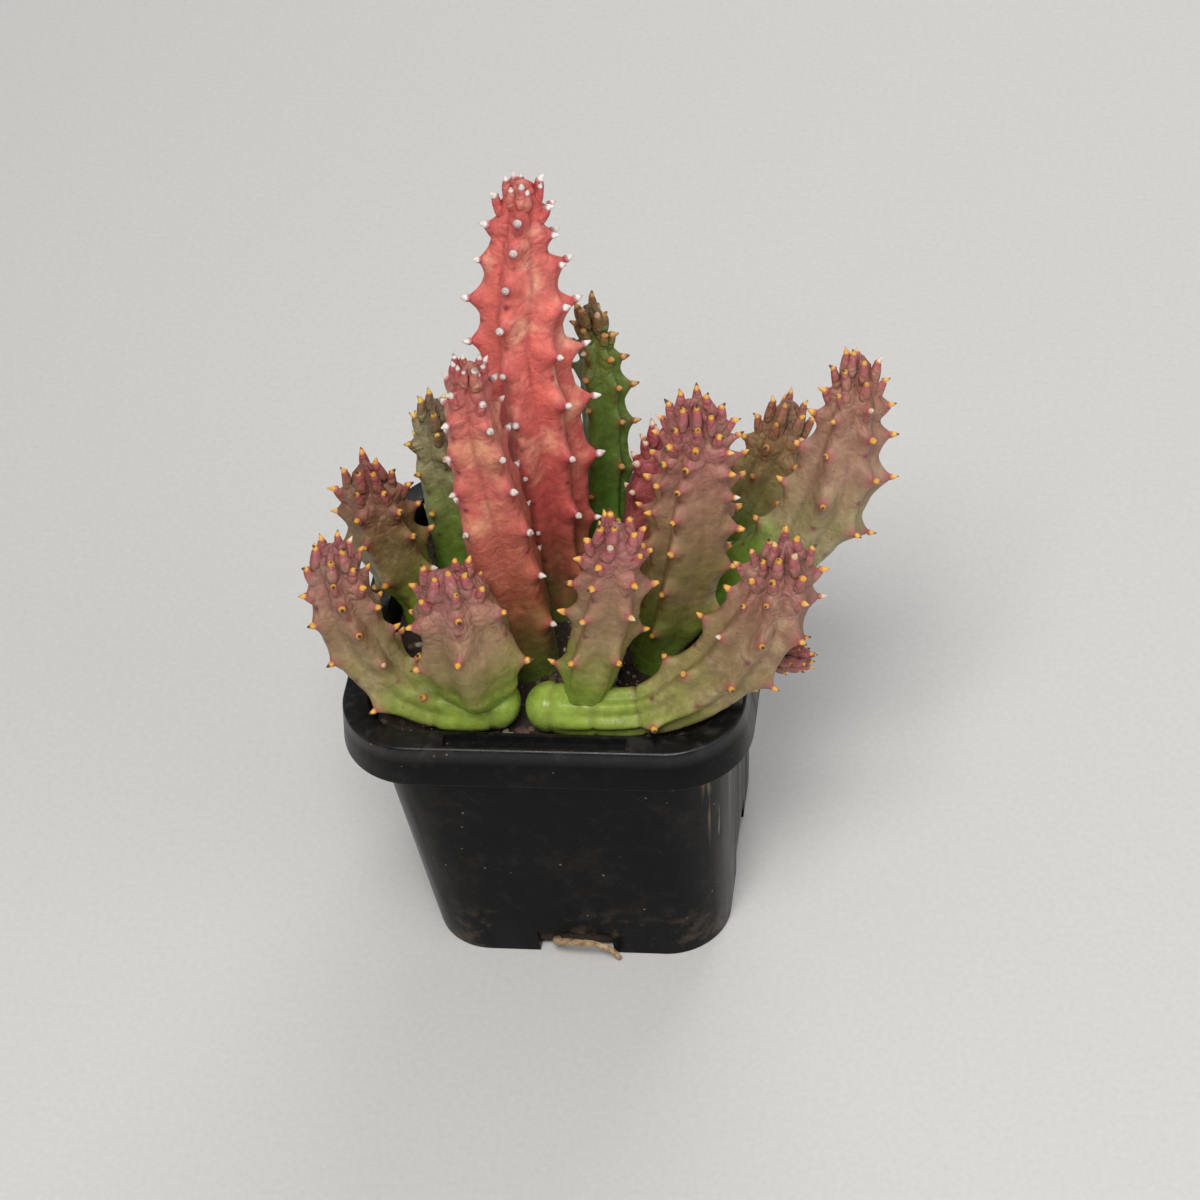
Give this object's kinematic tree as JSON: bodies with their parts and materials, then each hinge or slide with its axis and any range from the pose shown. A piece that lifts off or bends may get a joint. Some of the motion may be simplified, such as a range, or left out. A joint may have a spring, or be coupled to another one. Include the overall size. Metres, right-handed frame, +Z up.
{
  "type": "potted huernia",
  "caption": "Clump of upright five-ribbed toothed succulent stems standing in gritty soil in a square tapered nursery pot with a flat rim and skirt.",
  "frame": {"origin": "the middle of the pot's flat underside, on the surface it stands on", "axes": "+Z up along the pot, -Y to the pot's front, +X to its right"},
  "size_m": [0.0989, 0.0716, 0.1475],
  "materials": {
    "pot_plastic": "satin black moulded plastic, dusty and lightly scuffed",
    "soil": "matt dark gritty potting mix with small pale grains",
    "dry_root": "dry tan root, fibrous",
    "stone": "dull small pebbles",
    "stem_red": "waxy coral red succulent skin with pale teeth",
    "stem_dark_red": "waxy dark red succulent skin",
    "stem_green": "waxy grey green succulent skin",
    "stem_olive": "waxy olive brown succulent skin",
    "stem_brown": "waxy skin, purple pink crown over brown to a green foot, yellow teeth"
  },
  "bodies": {
    "root": {"pot": "pot_plastic", "soil": "soil", "root": "dry_root", "stone_brown": "stone", "stone_pale": "stone", "stone_left": "stone", "stone_back": "stone", "stone_corner": "stone", "stem_tall_red": "stem_red", "stem_red": "stem_red", "stem_dark_red": "stem_dark_red", "stem_left_back": "stem_green", "stem_dark_green": "stem_green", "stem_right_back": "stem_olive", "stem_left": "stem_brown", "stem_front_left": "stem_brown", "stem_right": "stem_brown", "stem_far_right": "stem_brown", "stem_front_right": "stem_brown"}
  },
  "joints": []
}
